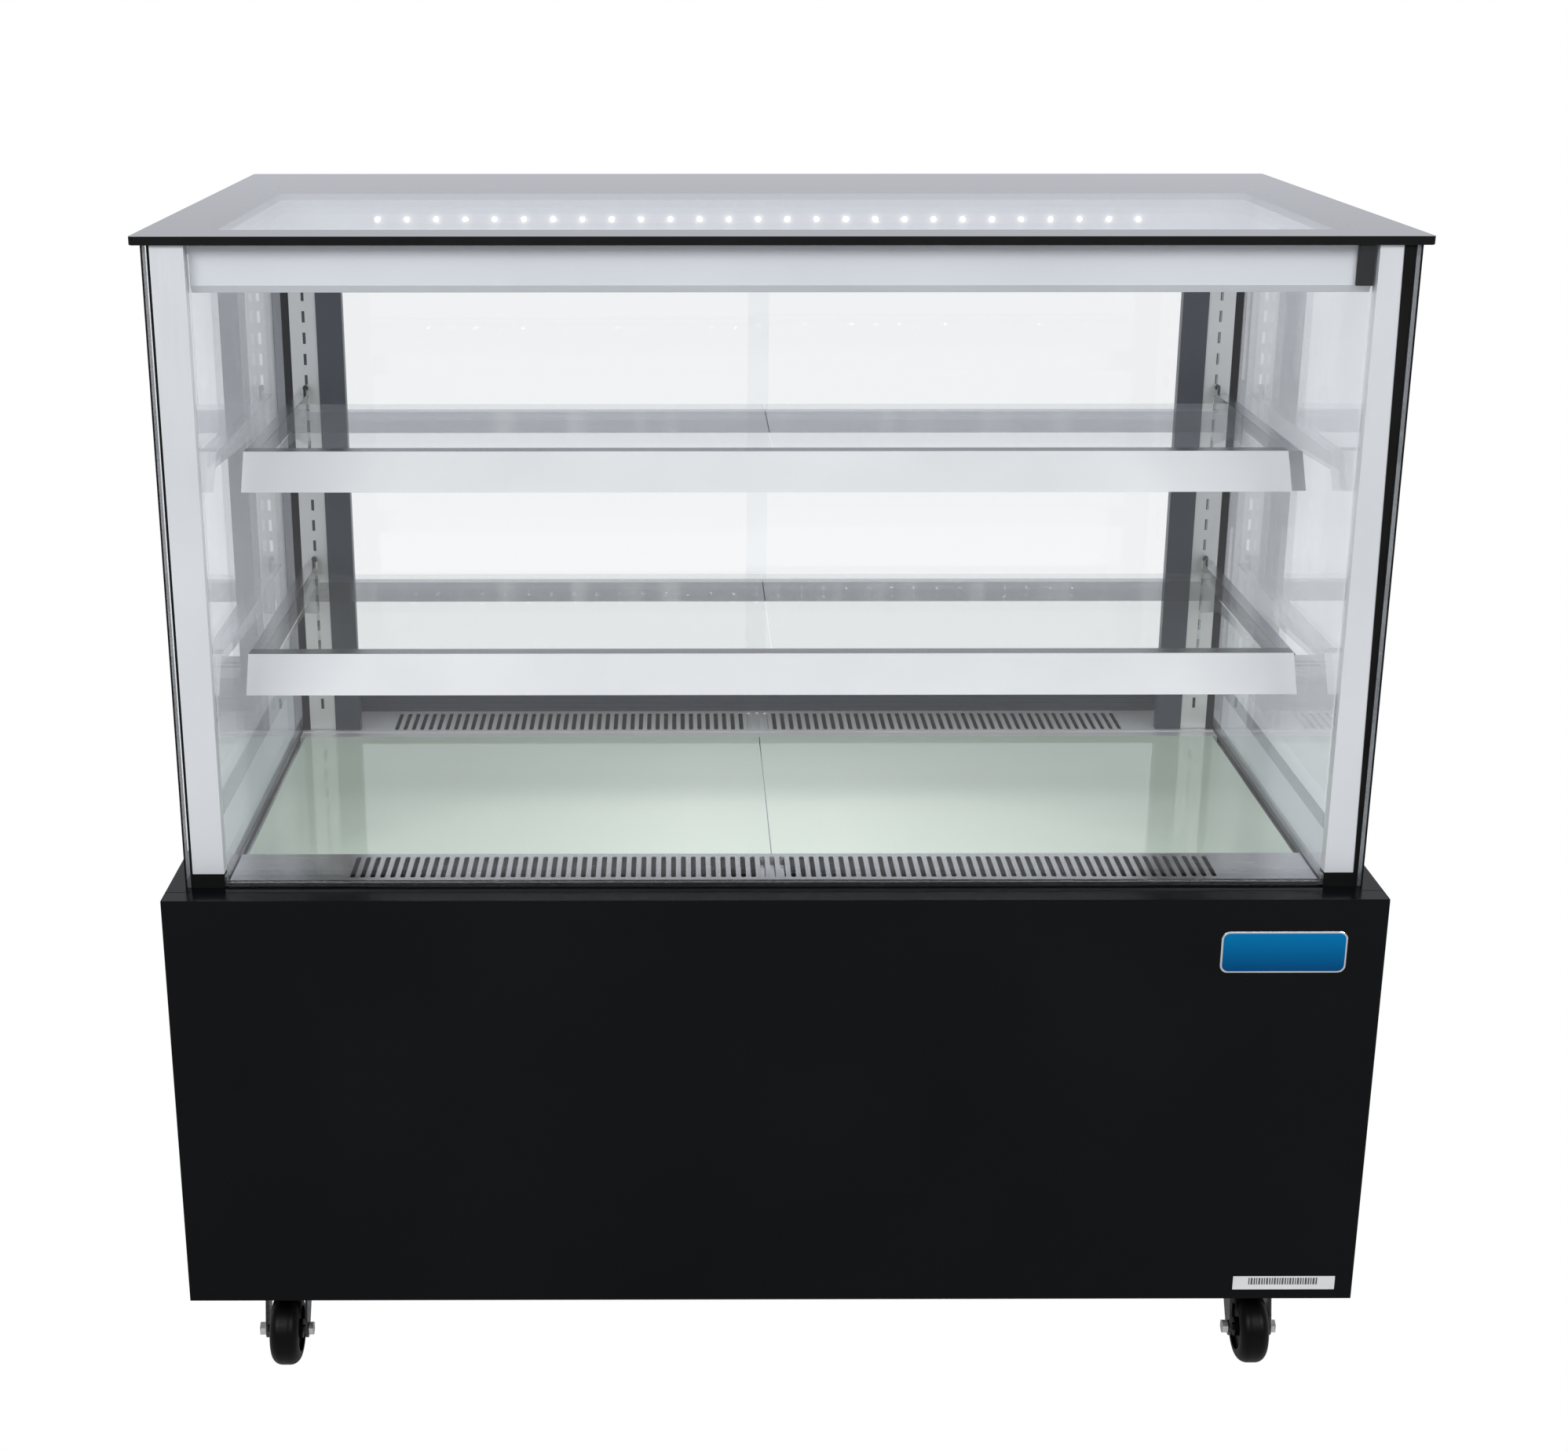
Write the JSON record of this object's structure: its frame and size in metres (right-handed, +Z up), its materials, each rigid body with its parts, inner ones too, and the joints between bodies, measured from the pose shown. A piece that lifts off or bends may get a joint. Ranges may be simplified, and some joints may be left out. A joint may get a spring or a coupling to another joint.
{
  "type": "bakery display case",
  "caption": "Floor-standing refrigerated glass bakery display case with lit shelves, tilting front glass, sliding rear doors and a black base on castors.",
  "frame": {"origin": "on the floor below the centre of the base", "axes": "+X to the right as the customer faces it, +Y from the customer side to the server side, +Z up"},
  "size_m": [1.2, 0.7024, 1.179],
  "materials": {
    "galvanised": "satin galvanised",
    "black_sheet": "gloss black",
    "black_plastic": "satin black",
    "bright_steel": "bright",
    "badge_blue": "gloss blue with a silver edge",
    "stainless": "brushed",
    "foam": "matt foam",
    "deck_glass": "green-tinted, back-painted",
    "fin_aluminium": "mill",
    "black_shell": "gloss black",
    "copper": "drawn copper",
    "clear_glass": "clear polished",
    "silver_aluminium": "satin silver",
    "border_ink": "glossy printed border",
    "pale_aluminium": "satin pale grey",
    "led_board": "white board with lenses",
    "slate_aluminium": "satin slate",
    "white_sheet": "satin white",
    "zinc_steel": "dark zinc",
    "wheel_rubber": "satin black"
  },
  "bodies": {
    "cabinet": {"base_frame": "galvanised", "front_panel": "black_sheet", "side_panels": "black_sheet", "louvre_panel": "black_sheet", "control_panel": "black_sheet", "control_bezels": "black_plastic", "cable_gland": "black_plastic", "panel_screws": "bright_steel", "badge": "badge_blue", "cold_well": "stainless", "well_insulation": "foam", "plinth_frame": "black_sheet", "deck_glass": "deck_glass", "front_grille": "stainless", "rear_grille": "stainless", "evaporator_coil": "fin_aluminium", "evaporator_fan_plate": "stainless", "compressor": "black_shell", "condenser_coil": "fin_aluminium", "condenser_shroud": "galvanised", "pipework": "copper", "drain_tray": "stainless", "electrical_box": "galvanised", "side_glass_right": "clear_glass", "side_glass_left": "clear_glass", "glazing_bars": "silver_aluminium", "edge_trims": "black_plastic", "top_glass": "clear_glass", "top_border": "border_ink", "front_header": "pale_aluminium", "door_header": "pale_aluminium", "led_strips": "led_board", "rear_columns": "slate_aluminium", "slotted_uprights": "stainless", "door_frame": "slate_aluminium", "upper_shelf_frame": "stainless", "upper_shelf_glass": "clear_glass", "upper_shelf_rail": "white_sheet", "lower_shelf_frame": "stainless", "lower_shelf_glass": "clear_glass", "lower_shelf_rail": "white_sheet", "castor_plates": "zinc_steel"},
    "front_glass": {"front_glass": "clear_glass", "front_glass_rail": "silver_aluminium"},
    "door_left": {"door_left": "clear_glass", "door_handle_left": "black_plastic"},
    "door_right": {"door_right": "clear_glass", "door_handle_right": "black_plastic"},
    "power_rocker": {"power_rocker": "black_plastic"},
    "lamp_rocker": {"lamp_rocker": "black_plastic"},
    "evaporator_fan": {"evaporator_fan": "black_plastic"},
    "condenser_fan": {"condenser_fan": "black_plastic"},
    "castor_fork_front_left": {"castor_fork_front_left": "zinc_steel"},
    "castor_wheel_front_left": {"castor_wheel_front_left": "wheel_rubber"},
    "castor_fork_front_right": {"castor_fork_front_right": "zinc_steel"},
    "castor_wheel_front_right": {"castor_wheel_front_right": "wheel_rubber"},
    "castor_fork_rear_left": {"castor_fork_rear_left": "zinc_steel"},
    "castor_wheel_rear_left": {"castor_wheel_rear_left": "wheel_rubber"},
    "castor_fork_rear_right": {"castor_fork_rear_right": "zinc_steel"},
    "castor_wheel_rear_right": {"castor_wheel_rear_right": "wheel_rubber"}
  },
  "joints": [
    {"name": "front_glass_tilt", "type": "hinge", "parent": "cabinet", "child": "front_glass", "pos_m": [0, -0.313, 0.553], "axis": [1, 0, 0], "range_deg": [0, 70]},
    {"name": "door_left_slide", "type": "slide", "parent": "cabinet", "child": "door_left", "axis": [1, 0, 0], "range_m": [0, 0.5]},
    {"name": "door_right_slide", "type": "slide", "parent": "cabinet", "child": "door_right", "axis": [-1, 0, 0], "range_m": [0, 0.5]},
    {"name": "power_rocker_tip", "type": "hinge", "parent": "cabinet", "child": "power_rocker", "pos_m": [0.41, 0.342, 0.5], "axis": [1, 0, 0], "range_deg": [0, 18]},
    {"name": "lamp_rocker_tip", "type": "hinge", "parent": "cabinet", "child": "lamp_rocker", "pos_m": [0.46, 0.342, 0.5], "axis": [1, 0, 0], "range_deg": [0, 18]},
    {"name": "evaporator_fan_spin", "type": "hinge", "parent": "cabinet", "child": "evaporator_fan", "pos_m": [0, -0.06, 0.487], "axis": [0, 1, 0], "continuous": true},
    {"name": "condenser_fan_spin", "type": "hinge", "parent": "cabinet", "child": "condenser_fan", "pos_m": [0.26, 0.158, 0.25], "axis": [0, 1, 0], "continuous": true},
    {"name": "castor_swivel_front_left", "type": "hinge", "parent": "cabinet", "child": "castor_fork_front_left", "pos_m": [-0.5097, -0.275, 0.09], "axis": [0, 0, 1], "continuous": true},
    {"name": "castor_spin_front_left", "type": "hinge", "parent": "castor_fork_front_left", "child": "castor_wheel_front_left", "pos_m": [-0.5097, -0.303, 0.0375], "axis": [1, 0, 0], "continuous": true},
    {"name": "castor_swivel_front_right", "type": "hinge", "parent": "cabinet", "child": "castor_fork_front_right", "pos_m": [0.5097, -0.275, 0.09], "axis": [0, 0, 1], "continuous": true},
    {"name": "castor_spin_front_right", "type": "hinge", "parent": "castor_fork_front_right", "child": "castor_wheel_front_right", "pos_m": [0.5097, -0.303, 0.0375], "axis": [1, 0, 0], "continuous": true},
    {"name": "castor_swivel_rear_left", "type": "hinge", "parent": "cabinet", "child": "castor_fork_rear_left", "pos_m": [-0.5097, 0.275, 0.09], "axis": [0, 0, 1], "continuous": true},
    {"name": "castor_spin_rear_left", "type": "hinge", "parent": "castor_fork_rear_left", "child": "castor_wheel_rear_left", "pos_m": [-0.5097, 0.247, 0.0375], "axis": [1, 0, 0], "continuous": true},
    {"name": "castor_swivel_rear_right", "type": "hinge", "parent": "cabinet", "child": "castor_fork_rear_right", "pos_m": [0.5097, 0.275, 0.09], "axis": [0, 0, 1], "continuous": true},
    {"name": "castor_spin_rear_right", "type": "hinge", "parent": "castor_fork_rear_right", "child": "castor_wheel_rear_right", "pos_m": [0.5097, 0.247, 0.0375], "axis": [1, 0, 0], "continuous": true}
  ]
}
